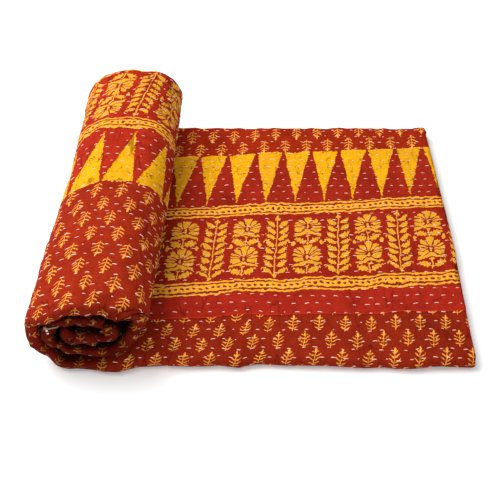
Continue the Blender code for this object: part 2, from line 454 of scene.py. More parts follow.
def puckers(length, printed):
    """How far the printed side stands out from the plain fold, by place on the cloth, in metres."""
    row = np.round((printed - FIRST_ROW) / ROW_PITCH)
    off = printed - FIRST_ROW - row * ROW_PITCH - row_wander(row, length)
    pulled = 0.62 + 0.38 * np.cos(2 * math.pi * (length / STITCH_PITCH - row_phase(row)))
    unevenness = 1.0 + 0.5 * soft_noise(length, printed, 0.06, 0.05, 11)
    groove = -GROOVE_DEPTH * ridge(off, GROOVE_WIDE) * pulled * unevenness
    between = 0.5 - 0.5 * np.cos(2 * math.pi * (printed - FIRST_ROW) / ROW_PITCH)
    ripples = 0.00070 * soft_noise(length, row + 0.0 * printed, 0.0075, 1.0, 21) * between
    ripples += 0.00060 * soft_noise(length, printed, 0.017, 0.013, 22)
    swell = 0.0017 * soft_noise(length, printed, 0.055, 0.048, 23)
    on_table = ease(FRONT_MIDDLE - 0.002, FRONT_MIDDLE + 0.009, printed)
    on_table *= ease(FLAT_RUN + 0.055, FLAT_RUN + 0.02, length)
    on_table *= ease(Q2_END + 0.008, Q2_END, printed)
    free = groove + ripples + swell + creases(length, printed)
    return free * (1.0 - on_table) + (np.minimum(groove, 0.0) - PRESSED) * on_table


def place(length, printed, lift):
    """The point this far off the printed side, by length and distance from the outer hem."""
    length, printed = np.broadcast_arrays(np.asarray(length, float), np.asarray(printed, float))
    return cloth_point(length, printed, CLOTH / 2 + puckers(length, printed) + lift)


def cloth_point(length, printed, out):
    """The point this far out of the cloth's middle, by length and distance from the outer hem."""
    y, height, out_y, out_h = line_at(printed)
    return strip_point(length, y + out_y * out, height + out_h * out)


def strip_point(length, y, height):
    """The point of the wound strip at a length, a place across and a height above its middle."""
    x, z, out_x, out_z, roll, turns = path_at(length)
    splayed = 0.55 * ease(0.885, 0.930, length) * at_mouth(y)
    height = height * (1.0 + splayed)  # the core's layers have spread apart at the mouth
    norm = np.hypot(out_x, out_z)
    x, z = x + out_x / norm * height, z + out_z / norm * height
    return settled(x, y, z, length, roll, turns) + ORIGIN


def origin():
    """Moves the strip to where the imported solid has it."""
    lengths = np.linspace(0.0, QUILT_LENGTH, 400)
    x, z, _, _, roll, turns = path_at(lengths)
    front, back = (
        settled(x, side * STRIP_WIDTH / 2 + 0.0 * x, z, lengths, roll, turns)[:, 1] for side in (-1, 1)
    )
    return np.array([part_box("quilt")[1].x, -(front.min() + back.max()) / 2, 0.0])


ORIGIN = origin()


# ---- The cloth's mesh ----
CUT_END = ((0.0, 0.35), (0.0006, 0.72), (0.0014, 0.93), (0.0026, 1.0))  # distance in, thickness
Q3_END = Q3_START + STRIP_WIDTH - CLOTH - 2.0 * LAYER_PITCH
LAST_HEM = float(LINE[-1, 4])
CUT_DEPTH = CUT_END[-1][0]
SHOWN_WRAP_END = 0.785  # length at which the outermost wrap goes under the flat run
AFTER_FOLD = 0.0011  # past the last fold, where the hidden panels' wide faces start
FINE_STEP, COARSE_STEP = 0.0028, 0.0045
BAKE_ROOM = (  # the share of the baked map that the printed side's stretches get
    [0.0, Q3_START, Q3_END, Q3_END + AFTER_FOLD, LAST_HEM],
    [0.0, 1.60, 1.70, 1.71, 1.80],
)


def columns():
    """The mesh's lines along the strip: distance on the printed side, side, and the zones it is in.

    Zone 0 is the flat run, where the top shows. Zone 1 is the outermost wrap, where the underside
    shows, and zone 2 the rest, where only the folds show.
    """
    cut = [d for d, _ in CUT_END]
    steps = np.array([0.0, 0.12, 0.30, 0.5, 0.70, 0.88]) * ROW_PITCH
    rows = np.arange(-1, 70)[:, None] * ROW_PITCH + FIRST_ROW + steps
    fine = rows.ravel()
    fine = fine[(fine > CUT_DEPTH + 0.0008) & (fine < Q2_END)]
    found = [(d, 1, "012") for d in cut]
    for k, d in enumerate(fine):
        near_fold = abs(d - FRONT_MIDDLE) < 0.045
        zones = "012" if near_fold or k % 24 == 0 else "0" if d < FRONT_MIDDLE else "1"
        found.append((float(d), 1, zones))
    outer = [
        *np.linspace(Q2_END, Q3_START, 9),
        *np.linspace(Q3_START, Q3_END, 8)[1:],
        *[Q3_END + 0.0003 + 0.0002 * k for k in range(3)],
        *np.linspace(Q3_END + AFTER_FOLD, LAST_HEM - CUT_DEPTH, 8),
        *[LAST_HEM - d for d in cut[-2::-1]],
    ]
    inner = [
        *[LAST_HEM - d for d in cut],
        *np.linspace(LAST_HEM - CUT_DEPTH, Q3_END + AFTER_FOLD, 8)[1:],
        *[Q3_END + 0.0009 - 0.0002 * k for k in range(4)],
        *np.linspace(Q3_END, Q3_START, 8),
        *np.linspace(Q3_START, Q2_END, 6)[1:],
        *np.linspace(Q2_END, Q2_START, 9)[1:],
        *np.linspace(Q2_START, Q1_END, 9)[1:],
        *np.linspace(Q1_END, CUT_DEPTH, 9)[1:],
        *cut[-2::-1],
    ]
    found += [(float(d), 1, "012") for d in outer]
    return found + [(float(d), -1, "012") for d in inner]


def stations():
    """The mesh's lengths along the strip, with each one's zone and share of the thickness."""
    found = [(d, 0, share) for d, share in CUT_END]
    found += [(s, 0, 1.0) for s in np.arange(2 * CUT_DEPTH, FLAT_RUN + 0.012, FINE_STEP)]
    found += [(s, 1, 1.0) for s in np.arange(found[-1][0] + FINE_STEP, SHOWN_WRAP_END, FINE_STEP)]
    last = np.arange(found[-1][0] + COARSE_STEP, QUILT_LENGTH - 0.004, COARSE_STEP)
    found += [(s, 2, 1.0) for s in last]
    return found + [(QUILT_LENGTH - d, 2, share) for d, share in CUT_END[::-1]]


COLUMNS, STATIONS = columns(), stations()


def cloth_points():
    """Every point of every station, as [station, column, xyz], and their places on the cloth."""
    printed = np.array([c[0] for c in COLUMNS])[None, :]
    side = np.array([c[1] for c in COLUMNS])[None, :]
    length = np.array([s[0] for s in STATIONS])[:, None]
    share = np.array([s[2] for s in STATIONS])[:, None]
    length, printed = np.broadcast_arrays(length, printed)
    from_hem = np.minimum(printed, LAST_HEM - printed)
    share = share * np.interp(from_hem, *np.array(CUT_END).T)
    shows = ease(Q3_START + 0.02, Q3_START, printed) * (side > 0)
    out = side * CLOTH / 2 * share + puckers(length, printed) * shows * share
    points = cloth_point(length, printed, out)
    points[..., 2] = np.maximum(points[..., 2], 0.0)
    return points, length, printed, side


def cloth_faces(count):
    """Faces between neighbouring stations, with many-sided ones where the lines' zones change."""
    index, used = [], []
    total = 0
    for _, zone, _ in STATIONS:
        lines = [j for j, c in enumerate(COLUMNS) if str(zone) in c[2]]
        index.append({j: total + k for k, j in enumerate(lines)})
        used.append(lines)
        total += len(lines)
    faces, corners = [], []
    for i in range(len(STATIONS) - 1):
        near, far = index[i], index[i + 1]
        common = [j for j in used[i] if j in far]
        for a, b in zip(common, common[1:] + [common[0] + count]):
            near_line = [j for j in used[i] if a < j < b]
            far_line = [j for j in used[i + 1] if a < j < b]
            ring = [(i, a), *[(i + 1, j) for j in [a, *far_line, b]]]
            ring += [(i, j) for j in [b, *near_line[::-1]]]
            faces.append([index[r][j % count] for r, j in ring])
            corners.append(ring)
    return index, used, faces, corners


def cap_faces(index, used):
    """Triangles over the strip's two cut ends."""
    faces, corners = [], []
    for i in (0, len(STATIONS) - 1):
        y, height, out_y, out_h = line_at([COLUMNS[j][0] for j in used[i]])
        out = np.array([COLUMNS[j][1] for j in used[i]]) * CLOTH / 2 * CUT_END[0][1]
        outline = [Vector((a, b, 0.0)) for a, b in zip(y + out_y * out, height + out_h * out)]
        for three in tessellate_polygon([outline]):
            order = three if i == 0 else three[::-1]
            faces.append([index[i][used[i][k]] for k in order])
            corners.append([(i, used[i][k]) for k in order])
    return faces, corners


def make_cloth():
    """The whole quilt as one closed mesh, with its maps."""
    points, length, printed, side = cloth_points()
    index, used, faces, corners = cloth_faces(len(COLUMNS))
    caps, cap_corners = cap_faces(index, used)
    rows, cols = np.array([(i, j) for i, lines in enumerate(used) for j in lines]).T
    mesh = bpy.data.meshes.new("quilt_cloth")
    mesh.from_pydata(points[rows, cols].tolist(), [], faces + caps)
    quilt = add("quilt_cloth", mesh)
    row, col = np.array([pair for ring in corners + cap_corners for pair in ring]).T
    cap = np.arange(len(row)) >= sum(len(ring) for ring in corners)
    last_strip, col = col >= len(COLUMNS), col % len(COLUMNS)
    length, printed, side = length[row, col], printed[row, col], side[0, col]
    set_map(mesh, "Cloth", length, printed)
    set_prints(mesh, length, printed, side)
    room = np.interp(printed, *BAKE_ROOM)
    room = np.where(side > 0, room, 1.99 - room)
    room = np.where(last_strip, 1.995, room)
    bake_u = np.where(cap, 0.975 + 0.02 * (side > 0), 0.01 + 0.95 * length / QUILT_LENGTH)
    set_map(mesh, "OFBake", bake_u, 0.005 + 0.99 * room / 2.0)
    mesh.shade_smooth()
    return quilt


def set_map(mesh, name, a, b):
    """Adds a UV map, given its two numbers at every corner of the faces."""
    layer = mesh.uv_layers.new(name=name)
    layer.uv.foreach_set("vector", np.column_stack([a, b]).astype(np.float32).ravel())


# ---- Where the print falls on the cloth ----
SEAM = 310.0  # where the border cloth ends and the sprigged cloth starts, down the border's map
SECOND = 1000.0  # added to the border's map where the border comes a second time, on the roll
BETWEEN_BORDERS = 700.0
PLAIN = 290.0  # a place down the border's map that has no print
BORDER_FOOT = 270.0  # the front edge of the lower line of dots, down the border's map
BORDER_MIDDLE, BORDER_LEAN = 210.0, 0.05  # the print leans to the right below its middle
SPRIG_ROW, SPRIG_PITCH = 22.6, 28.9
SPRIG_X, SPRIG_Y = 32.8, 371.0  # the middle of one of the sprigs


def border_place(s, v):
    """Across and down the border print, in millimetres, from the length and printed distance."""
    leaning = ease(170.0, 60.0, s) * (np.clip(v, 30.0, 125.0) - 80.0)
    flat_u = s - BORDER_LEAN * (v - BORDER_MIDDLE) - 1.0 - 0.045 * leaning
    tilt = BORDER_TILT * np.minimum(s, 400.0)
    last_line = BORDER_FOOT + tilt
    to_seam = (v - last_line) / (table(s, *SEAM_LINE) - last_line)
    flat_v = np.where(v > last_line, BORDER_FOOT + (SEAM - BORDER_FOOT) * to_seam, v - tilt)
    roll = v - BORDER_TILT * s
    roll_v = SECOND + table(
        roll,
        (-200, -688.3), (526.3, 38), (612.5, 125), (623.9, 131.5), (637, 147.5), (657.5, 171.5),
        (677.6, 193.3), (700, 219), (728, 250), (800, 330),
    )
    lean = table(roll, (0, 0), (526.3, 0), (612, 10.7), (637, 20.6), (728, 37.9), (800, 50.0))
    roll_u = 82.3 + 1.0326 * (s - lean - 604.8)
    on_roll = v > (Q2_START + 0.020) * MM
    return np.where(on_roll, roll_u, flat_u), np.where(on_roll, roll_v, flat_v)


def sprig_place(s, v):
    """Across and down the sprigs' lattice, in millimetres. Their tips point up, to lower values."""
    left = hump(s, 205.0, 265.0, 395.0, 520.0)
    pressed = SPRIG_Y + (v - 374.4) * 1.2
    fold = Q2_START * MM
    near_seam = np.minimum(v - 325.7, 0.0) * (SPRIG_ROW / 19.7 - 1.0)
    flat_down = v + near_seam * (1.0 - left) + (pressed - v) * left
    roll_down = fold + (v - fold) * 1.0353
    down = np.where(v < fold, flat_down, roll_down)
    flat_across = s - (0.105 + 0.195 * left) * (v - SPRIG_Y)
    shift = table(s, (60, 0.0), (110, 3.2), (240, 3.2), (270, 4.0), (305, 4.8), (400, 3.0))
    lean = table(s, (0, -1.0), (110, -1.8), (235, -1.8), (265, 1.0), (310, 1.3))
    below = (v - 354.0) / 17.0
    flat_across = flat_across + shift + lean * np.where(lean < 0.0, np.maximum(below, 0.0), below)
    roll_across = 625.25 + 1.0358 * (s - 0.142 * (v - 394.0) - 604.8)
    on_roll = ease(394.0, 470.0, s)
    across = flat_across * (1.0 - on_roll) + roll_across * on_roll
    untilted = v - BORDER_TILT * s
    first_across = s - BORDER_LEAN * (v - BORDER_MIDDLE) - 23.4
    first_across = first_across * SPRIG_PITCH / 29.4 + SPRIG_X
    first_down = SPRIG_Y - 20.0 * SPRIG_ROW - (untilted - 0.5) * 0.886
    first = untilted < 150.0
    return np.where(first, first_across, across), np.where(first, first_down, down)


def set_prints(mesh, length, printed, side):
    """Writes the maps of both prints. The reverse and the inner panels are plain."""
    y = line_at(printed)[0]
    x, _, out_x, out_z, _, _ = path_at(length)
    x = x + out_x / np.hypot(out_x, out_z) * STRIP_THICKNESS / 2
    upper_left = ease(0.490, 0.530, length) * (length < 0.7)
    shift = drawn_in(length, y) + table(y, *LEFT_DRAWN_IN) * left_share(x) * upper_left * 1.15
    s, v = (length + shift) * MM, printed * MM
    v = v - 7.5 * lip_shares(length, y)[0] * at_mouth(y) * (printed < Q2_END)
    over_front = ease(Q1_END + 0.008, Q1_END - 0.012, printed)
    v = v + pushed_out(length, y) * over_front * MM
    across, down = border_place(s, v)
    plain = (side < 0) | (printed > Q3_START) | ((length > 0.435) & (printed < Q1_END - 0.035))
    set_map(mesh, "Border", across, np.where(plain, PLAIN, down))
    set_map(mesh, "Field", *sprig_place(s, v))


# ---- Arithmetic with shader nodes ----
def arithmetic(operation):
    """One of Python's operators, for Numbers."""
    return lambda number, other: number.maths(operation, other)


class Number:
    """A value that shader nodes work out, so that the print can be written as arithmetic."""

    def __init__(self, socket):
        self.socket, self.tree = socket, socket.id_data

    def maths(self, operation, *others, clamp=False):
        inputs = dict(enumerate((self, *others)))
        node = new_node(self.tree, "Math", inputs, operation=operation, use_clamp=clamp)
        return Number(node.outputs[0])

    def __rsub__(self, other):
        return self.maths("MULTIPLY_ADD", -1.0, other)

    def __abs__(self):
        return self.maths("ABSOLUTE")

    __add__ = __radd__ = arithmetic("ADD")
    __sub__ = arithmetic("SUBTRACT")
    __mul__ = __rmul__ = arithmetic("MULTIPLY")
    __truediv__ = arithmetic("DIVIDE")
    __mod__ = arithmetic("FLOORED_MODULO")
    __gt__ = arithmetic("GREATER_THAN")
    __lt__ = arithmetic("LESS_THAN")


def least(first, *others):
    for other in others:
        first = first.maths("MINIMUM", other)
    return first


def most(first, *others):
    for other in others:
        first = first.maths("MAXIMUM", other)
    return first


def hypot(a, b):
    return (a * a + b * b).maths("SQRT")


def oval(x, y, half_x, half_y):
    """How far out a point is from the middle of an oval, 1 at its edge."""
    return hypot(x * (1 / half_x), y * (1 / half_y))


def bead(x, y, half_x, half_y):
    """The depth inside a solid oval."""
    return (1.0 - oval(x, y, half_x, half_y)) * half_x


def clamped(value, low, gain):
    """How far a value is above another, times a gain, kept between 0 and 1."""
    return (value - low).maths("MULTIPLY", gain, clamp=True)


def cover(depth, soft=0.35):
    """From 0 outside a shape to 1 inside it, given the depth in millimetres below its edge."""
    return depth.maths("MULTIPLY_ADD", 1.0 / soft, 0.5, clamp=True)


def centred(value, pitch, offset=0.0):
    """How far a value is from the nearest of lines a pitch apart, one of which is at offset."""
    return (value - (offset - pitch / 2)) % pitch - pitch / 2


def curve(value, low, high, knots):
    """A smooth curve through knots of (value, result), for values from low to high."""
    results = [k[1] for k in knots]
    bottom, span = min(results), max(results) - min(results)
    share = (value - low) * (1.0 / (high - low))
    node = new_node(value.tree, "FloatCurve", {"Value": share})
    line = node.mapping.curves[0]
    points = [((k[0] - low) / (high - low), (k[1] - bottom) / span) for k in knots]
    for point in points[2:]:
        line.points.new(*point)
    for made, point in zip(line.points, sorted(points)):
        made.location = point
    node.mapping.update()
    return Number(node.outputs[0]) * span + bottom


# ---- The block print: each gives the depth in millimetres inside its yellow, x across, y up ----
def sprig(x, y):
    """A stem with a long bud at its tip and four pairs of slender leaflets that rise towards it."""
    out = abs(x)
    stem = least(0.46 - out, y + 10.8, 6.0 - y)
    bud = bead(x, y - 7.5, 1.25, 3.9)
    rise = y - out * (out * 0.034 + 0.38)
    pair = centred(rise, 4.5, -8.4)
    row = rise - pair  # the same all along a leaflet
    reach = 6.6 - (row + 3.0) * (row + 3.0) * 0.046
    share = out / reach - 0.56
    plump = 0.66 - share * share * 1.7
    leaflets = least(plump - abs(pair) * 0.865, reach - out, rise + 10.6, 7.3 - rise)
    return most(stem, bud, leaflets)


def triangle(x, y):
    """A tall serrated triangle, 87 high, with its base at y = 0 and its tip drawn out."""
    tooth = abs(centred(y, 4.3)) * 0.46 - 0.5
    half = most(17.2 - y * 0.198, 0.8)
    return least((half + tooth - abs(x)) * 0.97, y + 0.2, 88.0 - y)


def dotted_line(u, v):
    """Two thin lines and between them a broad one with slanted dots left open."""
    dot = oval(centred(u, 7.0) + v * 0.35, v, 2.05, 1.55) - 1.0
    broad = least(4.3 - abs(v), dot * 1.9)
    thin = 1.35 - abs(abs(v) - 8.0)
    return most(broad, thin)


PETAL_EDGE = (
    (0, 20.7), (14, 20.4), (18, 18.0), (21, 15.0), (26, 17.8), (35, 19.6), (42, 19.2),
    (47, 16.6), (50, 16.6), (55, 18.2), (61, 18.6), (66, 17.4), (69, 16.2), (72, 16.8),
    (77, 17.8), (84, 17.2), (90, 15.4), (94, 16.0), (101, 17.0), (108, 17.0), (114, 16.4),
    (118, 15.4), (121, 18.4), (124, 21.8), (127, 22.2), (132, 20.2), (138, 17.2), (146, 14.6),
    (156, 12.6), (168, 10.6), (180, 9.6),
)  # degrees from straight up, and how far out the flower reaches there


def rosette(x, y):
    """An open flower seen from its side: a seed in a ring, a fan above and petals at each side."""
    r = most(hypot(x, y), 0.01)
    turn = (y / r).maths("ARCCOSINE") * (180 / math.pi)
    notches = abs(centred(turn, 8.0)) * most(r - 9.0, 0.0) * 0.058
    edge = curve(turn, 0.0, 180.0, PETAL_EDGE) - r - notches + 0.45
    per_degree = r * (math.pi / 180)
    sides = (
        most(6.0 - r, 0.0) * 5.0 + 19.5,
        r * 0.95 + 35.0,
        r * 0.85 + 56.0,
        r * 0.0 + 91.0,
        most(18.0 - r, 0.0) * 1.9 + 118.0,
    )
    gap = 0.70 + most(r - 11.0, 0.0) * 0.05
    gaps = [abs(turn - side) * per_degree - gap for side in sides]
    ring = oval(x, y, 3.1, 5.2) - 1.0
    return most(least(edge, *gaps, r - 4.6, ring * 2.0), bead(x, y, 1.45, 3.6))


def holly_leaf(a, b, half_long, half_wide):
    """A leaf along a with four big teeth on each edge."""
    teeth = abs(centred(a, 4.2, 1.0)) * 0.95 - 1.0
    return bead(b, a, half_wide, half_long) + teeth


def flower_stalk(x, y):
    """What hangs under a rosette: its crown, a stem and a pair of broad leaves."""
    out = abs(x)
    crown_edge = -11.9 - abs(centred(out, 2.2)) * 1.0
    crown = least(y + 16.4, crown_edge - y, 3.3 - (-12.4 - y) * 0.8 - out)
    stem = least(0.8 - out, -13.0 - y, y + 27.0)
    across, along = 0.906, 0.423
    lx, ly = out - 8.8, y + 20.4
    a = lx * across + ly * along
    b = ly * across - lx * along
    leaf = least(holly_leaf(a, b, 6.9, 3.9), out - 1.5)
    stalk = least(0.55 - abs(b), out - 0.2, 4.0 - out)
    return most(crown, stem, leaf, stalk)


def star_blob(x, y):
    """A small lobed blob between the flowers."""
    r = hypot(x, y * 0.82)
    lobes = (x * x - y * y) / most(r, 0.3)
    return 2.05 - r + abs(lobes) * 0.25


def tendril(x, y):
    """A pair of small hooks that curl outward from the stem's blades."""
    hook = 0.72 - abs(hypot(abs(x) - 13.3, y) - 2.4)
    return least(hook, y + 0.8)


def leafy_stem(x, y):
    """A tall stem: a three-lobed bud on top, then eight pairs of saw-edged blades, 92 high."""
    out = abs(x)
    stem = least(0.75 - out, y + 90.0, 0.0 - y)
    rise = y - out * 0.50
    blade = centred(rise, 10.6, -13.0)
    tooth = abs(centred(out + blade * 0.9, 3.1)) * most(out - 3.0, 0.0) * 0.26
    tall = 3.7 - most(out - 8.5, 0.0) * 0.40 - most(4.8 - out, 0.0) * 0.90
    blades = least(tall + tooth - 0.72 - abs(blade) * 1.06, 13.0 - out + blade * 0.35, rise + 90.0)
    blades = least(blades, -8.0 - rise, out - 1.0, out * 0.5 + blade + 3.2)
    bud, lobe = bead(x, y - 1.5, 1.7, 3.4), bead(out - 2.3, y + 1.2, 1.3, 2.0)
    foot = least(y + 94.0, -88.0 - y, (y + 94.0) * 0.55 - out)
    hooks = most(tendril(x, y + 38.5), tendril(x, y + 80.5))
    return most(stem, blades, bud, lobe, foot, hooks)


# ---- Materials ----
MIX_SHARE, MIX_FIRST, MIX_SECOND, MIX_RESULT = 0, 6, 7, 2  # a mix node's sockets for colours


def colour(red, green, blue):
    """A colour given as on a screen, 0 to 255, as the linear colour that shaders take."""
    shares = (red / 255, green / 255, blue / 255)
    return (*[s / 12.92 if s <= 0.04045 else ((s + 0.055) / 1.055) ** 2.4 for s in shares], 1.0)


def uv_place(tree, name):
    """The two numbers of a UV map."""
    node = new_node(tree, "UVMap", {}, uv_map=name)
    apart = new_node(tree, "SeparateXYZ", {0: node.outputs[0]})
    return Number(apart.outputs[0]), Number(apart.outputs[1])


def noise_at(across, down, scale=1.0, detail=2.0, roughness=0.5):
    """Two separate noises, about 0.5 each, at a place given by two numbers."""
    tree = across.tree
    point = new_node(tree, "CombineXYZ", {0: across, 1: down}).outputs[0]
    inputs = {"Vector": point, "Scale": scale, "Detail": detail, "Roughness": roughness}
    noise = new_node(tree, "TexNoise", inputs, noise_dimensions="2D")
    apart = new_node(tree, "SeparateColor", {0: noise.outputs["Color"]})
    return Number(noise.outputs["Fac"]), Number(apart.outputs[1])


def blend(share, first, second):
    """The first colour where share is 0 and the second where it is 1."""
    inputs = {MIX_SHARE: share, MIX_FIRST: first, MIX_SECOND: second}
    return new_node(share.tree, "Mix", inputs, data_type="RGBA").outputs[MIX_RESULT]


def layered(base, *layers):
    """A colour with others laid over it in turn, each given as its share and the colour."""
    for share, over in layers:
        base = blend(share, base, over)
    return base


def scaled(value, share):
    """A colour made brighter or darker by a factor."""
    inputs = {0: value, "Scale": share}
    return new_node(share.tree, "VectorMath", inputs, operation="SCALE").outputs[0]


def rise(value, low, high):
    """From 0 where the value is low to 1 where it is high."""
    inputs = {"Value": value, "From Min": low, "From Max": high}
    node = new_node(value.tree, "MapRange", inputs, interpolation_type="SMOOTHSTEP")
    return Number(node.outputs["Result"])


def bump(height, distance):
    """Directions in which a surface faces where it stands out by a height, times a distance."""
    inputs = {"Strength": 0.6, "Distance": distance, "Height": height}
    return new_node(height.tree, "Bump", inputs).outputs[0]


def dyed(red, green, blue):
    """A dye as it shows under the studio's light, 0 to 255, as the cloth's own linear colour."""
    return (*[0.80 * share for share in colour(red, green, blue)[:3]], 1.0)


RED, FLOWER_RED, BAND_RED = dyed(163, 39, 20), dyed(162, 37, 19), dyed(172, 40, 23)
BACK_FIELD_RED, FIELD_RED = dyed(162, 40, 11), dyed(147, 38, 15)
OUTLINE_AND_SHADE, PETAL_OUTLINE, SEAM_RED = dyed(88, 8, 4), dyed(118, 38, 0), dyed(218, 50, 26)
SCRATCH, WORN_RED = dyed(84, 24, 6), dyed(116, 14, 14)
YELLOW, DULL_YELLOW = dyed(241, 173, 16), dyed(230, 160, 30)
FLOWER_YELLOW, PETAL_HEART = dyed(255, 160, 68), dyed(228, 168, 34)
LINE_YELLOW, LINE_HEART = dyed(255, 160, 60), dyed(248, 182, 36)
SPRIG_YELLOW, DULL_SPRIG = dyed(255, 190, 82), dyed(255, 158, 62)
SLIVER_GREEN, PAINTED_SHADE_RED = dyed(34, 44, 26), dyed(128, 0, 0)
RIM_PALE, KNOT_WHITE = dyed(190, 172, 140), dyed(250, 244, 232)
THREAD_CREAM, THREAD_PALE = colour(255, 198, 180), colour(255, 234, 218)
THREAD_PINK = colour(240, 150, 130)

# Places on the border's map
TRIANGLE_PITCH, TRIANGLE_X = 38.0, 44.3
FLOWER_PITCH, FLOWER_X, STEM_X, STEM_TOP = 76.0, 26.5, 64.5, 156.0
FIRST_SEED, NEXT_SEED, STALK_FOOT = 172.0, 47.0, 198.5
BLOB_X, BLOB_Y = 17.4, 198.0
UPPER_LINE, LOWER_LINE, BAND_MIDDLE = 139.5, 261.0, 200.0
FLOWER_BAND, LINE_BANDS = (128.0, 272.0), ((128.0, 150.0), (250.0, 272.0))


def border_depth(u, v):
    """Triangles, dotted lines, flowers and leafy stems, down the border print from its top."""
    peaks = triangle(centred(u, TRIANGLE_PITCH, TRIANGLE_X), v - BORDER_TOP)
    lines = dotted_line(u, v - UPPER_LINE - (v > BAND_MIDDLE) * (LOWER_LINE - UPPER_LINE))
    x = centred(u, FLOWER_PITCH, FLOWER_X)
    y = FIRST_SEED - v + (v > STALK_FOOT) * NEXT_SEED
    y = y * ((v < FIRST_SEED) * 0.18 + 1.0)
    flowers = most(rosette(x, y), flower_stalk(x, y))
    stems = leafy_stem(centred(u, FLOWER_PITCH, STEM_X), STEM_TOP - v)
    return most(peaks, lines, flowers, stems, star_blob(abs(x) - BLOB_X, BLOB_Y - v))


def sprigs_depth(across, down):
    """Sprigs in staggered rows."""
    row = ((down - (SPRIG_Y - SPRIG_ROW / 2)) * (1.0 / SPRIG_ROW)).maths("FLOOR")
    x = centred(across + (row % 2.0) * (SPRIG_PITCH / 2), SPRIG_PITCH, SPRIG_X)
    return sprig(x, row * SPRIG_ROW + SPRIG_Y - down)


def within(value, low, high, soft=1.0):
    """1 where the value is between two others and 0 elsewhere."""
    return cover(least(value - low, high - value), soft)


def painted_shade_kept(length, printed):
    """How much of its brightness the cloth keeps under painted shade: the folds at the roll's mouth and
    the inside of the roll are painted darker.
    """
    # The lip ends at a slanted crease; the crease and the cloth beyond it, which lies back, get painted
    # shadow
    crease = least(most(printed - 0.3816, 0.0), 0.018) * 2.0 + 0.636
    beyond = rise(length - crease, -0.001, 0.006) * (1.0 - rise(length, 0.715, 0.735))
    in_crease = within(length - crease, -0.0035, 0.0030, 0.0025) * rise(printed, 0.372, 0.380)
    in_crease = in_crease * rise(0.0 - printed, -0.412, -0.398)
    # Painted shade at the front fold, and everywhere inside the roll
    at_fold = 1.0 - rise(printed - beyond * 0.014, 0.387, 0.399)
    at_fold = most(at_fold, rise(length, 0.735, 0.760), rise(printed, 0.79, 0.81))
    on_roll, core = rise(length, 0.385, 0.440), rise(length, 0.655, 0.722)
    # The painted shade is darkest where the folds turn away from the front, in the crevices between
    # them
    from_nose = printed - FRONT_MIDDLE
    crevice = rise(most(abs(from_nose) * (core * 2.0 - 1.0), 0.0 - from_nose), 0.003, 0.012)
    crevice = most(crevice, beyond * 0.3)
    low = rise(length, 0.362, 0.405) * (1.0 - rise(length, 0.488, 0.515))
    painted_shade = at_fold * (on_roll * (crevice * 0.42 + core * 0.38 + 0.18) + low * 0.32)
    return 1.0 - least(most(painted_shade, in_crease * 0.70), 0.96)


def red_cloth(printed, down, depth, petals, patchy, shade):
    """The dyed cloth between the motifs, and the dark edge of the ink round them, with painted light
    brightening the roll's face and a painted shadow under the seam.
    """
    red = layered(
        RED,
        (petals, FLOWER_RED),
        (within(down, BORDER_FOOT, SEAM), BAND_RED),
        (cover(BORDER_TOP - down, 1.0), BACK_FIELD_RED),
        (within(down, SEAM, SECOND + BORDER_TOP), FIELD_RED),
        (clamped(patchy, 0.44, 2.0) * 0.55, OUTLINE_AND_SHADE),
    )
    # Painted light: the cloth past the front fold, on the roll, is made up to a quarter brighter than
    # the flat run
    red = scaled(scaled(red, shade), rise(printed, 0.375, 0.420) * 0.24 + 1.0)
    ink_edge = cover(depth + 0.85, 0.6) * (petals * 0.80 + 0.15)
    return layered(
        red,
        (within(down, SEAM - 1.0, SEAM + 0.3, 0.6) * 0.75, SEAM_RED),
        # Painted shadow below the seam's ridge
        (within(down, SEAM + 0.5, SEAM + 1.9, 0.8) * 0.45, OUTLINE_AND_SHADE),
        (ink_edge * (1.0 - petals), OUTLINE_AND_SHADE),
        (ink_edge * petals, PETAL_OUTLINE),
    )


def yellow_print(v, depth, petals, field, streaky, grain):
    """The ink of the motifs: paler in the lines of dots and the sprigs, and worn in the sprigs."""
    lines = most(*[within(v, *band) for band in LINE_BANDS])
    edge = blend(lines, FLOWER_YELLOW, LINE_YELLOW)
    heart = blend(lines, PETAL_HEART, LINE_HEART)
    pale = cover(depth - 0.5, 0.7) * (1.0 - clamped(grain, 0.45, 3.0))
    return layered(
        YELLOW,
        (clamped(streaky, 0.45, 3.0), DULL_YELLOW),
        (petals, blend(cover(depth - 0.9, 0.9), edge, heart)),
        (cover(field, 1.0), blend(pale, DULL_SPRIG, SPRIG_YELLOW)),
    )


TUCK = (0.8342, 0.3836)  # length and printed distance
KNOTS = ((0.8265, 0.3843, 0.0013, 0.0010), (0.8236, 0.3818, 0.0012, 0.0013))  # place, half sizes


def tucked_edge(length, printed):
    """At the upper left of the roll's mouth: a dark tuck, the pale edge over it, a thread's end."""
    s, v = (length - TUCK[0]) * MM, (printed - TUCK[1]) * MM
    along, below = s * 0.77 - v * 0.64, s * 0.64 + v * 0.77
    tuck = oval(along, below, 6.2, 2.0)
    rim = least(tuck - 1.05, 1.75 - tuck, below * -1.0 - 0.4)
    knot = most(*[1.0 - oval(length - s, printed - p, *halves) for s, p, *halves in KNOTS])
    return cover(1.0 - tuck, 0.2), cover(rim, 0.15) * 0.6, cover(knot, 0.15)


